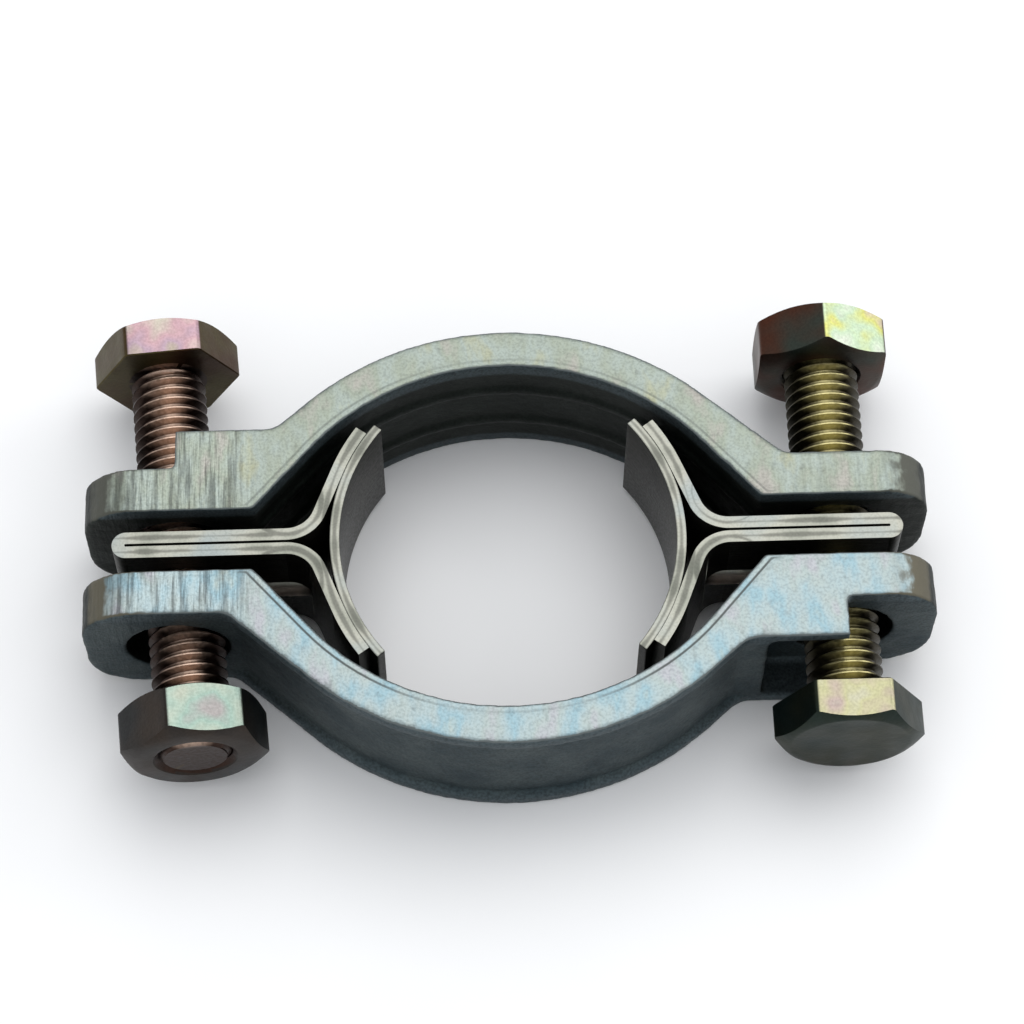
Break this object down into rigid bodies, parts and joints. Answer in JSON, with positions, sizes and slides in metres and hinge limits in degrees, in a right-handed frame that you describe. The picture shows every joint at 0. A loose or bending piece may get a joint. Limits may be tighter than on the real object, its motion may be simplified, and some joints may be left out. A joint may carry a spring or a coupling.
{
  "type": "double-bolt pipe clamp",
  "caption": "Clamp of cast halves that close round a pipe or hose, with sheet saddles bridging the gaps, drawn together by opposed hexagon bolts and nuts.",
  "frame": {"origin": "on the pipe axis at the middle of the clamp's width", "axes": "+Z along the pipe axis, up; +X from ear to ear, towards the right saddle; +Y along the bolts, from the front half to the back half"},
  "size_m": [0.111, 0.0646, 0.0212],
  "materials": {
    "cast_zinc": "bright zinc plating over an as-cast skin, faintly iridescent, with file marks on the ears",
    "sheet_zinc": "satin zinc-plated sheet with bright sheared edges",
    "yellow_zinc": "yellow-chromate zinc plating, iridescent"
  },
  "bodies": {
    "front_half": {"front_half": "cast_zinc"},
    "back_half": {"back_half": "cast_zinc"},
    "left_bolt": {"left_bolt": "yellow_zinc"},
    "right_bolt": {"right_bolt": "yellow_zinc"},
    "left_nut": {"left_nut": "yellow_zinc"},
    "right_nut": {"right_nut": "yellow_zinc"},
    "left_saddle": {"left_saddle_strap": "sheet_zinc", "left_saddle_bridge": "sheet_zinc"},
    "right_saddle": {"right_saddle_strap": "sheet_zinc", "right_saddle_bridge": "sheet_zinc"}
  },
  "joints": [
    {"name": "halves_open", "type": "slide", "parent": "front_half", "child": "back_half", "axis": [0, 1, 0], "range_m": [-0.0016, 0.01]},
    {"name": "left_saddle_float", "type": "slide", "parent": "front_half", "child": "left_saddle", "axis": [0, 1, 0], "range_m": [-0.0008, 0.005]},
    {"name": "right_saddle_float", "type": "slide", "parent": "front_half", "child": "right_saddle", "axis": [0, 1, 0], "range_m": [-0.0008, 0.005]},
    {"name": "left_bolt_turn", "type": "hinge", "parent": "front_half", "child": "left_bolt", "pos_m": [-0.0432, 0.004, 0], "axis": [-0.0785, 0.9969, 0], "range_deg": [-1440, 0]},
    {"name": "left_nut_travel", "type": "slide", "parent": "front_half", "child": "left_nut", "axis": [-0.0785, 0.9969, 0], "range_m": [0, 0.00605]},
    {"name": "right_nut_turn", "type": "hinge", "parent": "front_half", "child": "right_nut", "pos_m": [0.0432, 0.0305, 0], "axis": [0, 1, 0], "range_deg": [-2472, 0]},
    {"name": "right_bolt_travel", "type": "slide", "parent": "front_half", "child": "right_bolt", "axis": [0, 1, 0], "range_m": [0, 0.01035]}
  ],
  "couplings": [
    {"joint": "left_saddle_float", "follows": "halves_open", "ratio": 0.5},
    {"joint": "right_saddle_float", "follows": "halves_open", "ratio": 0.5},
    {"joint": "left_nut_travel", "follows": "left_bolt_turn", "m_per_rad": -0.00023873},
    {"joint": "right_bolt_travel", "follows": "right_nut_turn", "m_per_rad": -0.00023873}
  ]
}
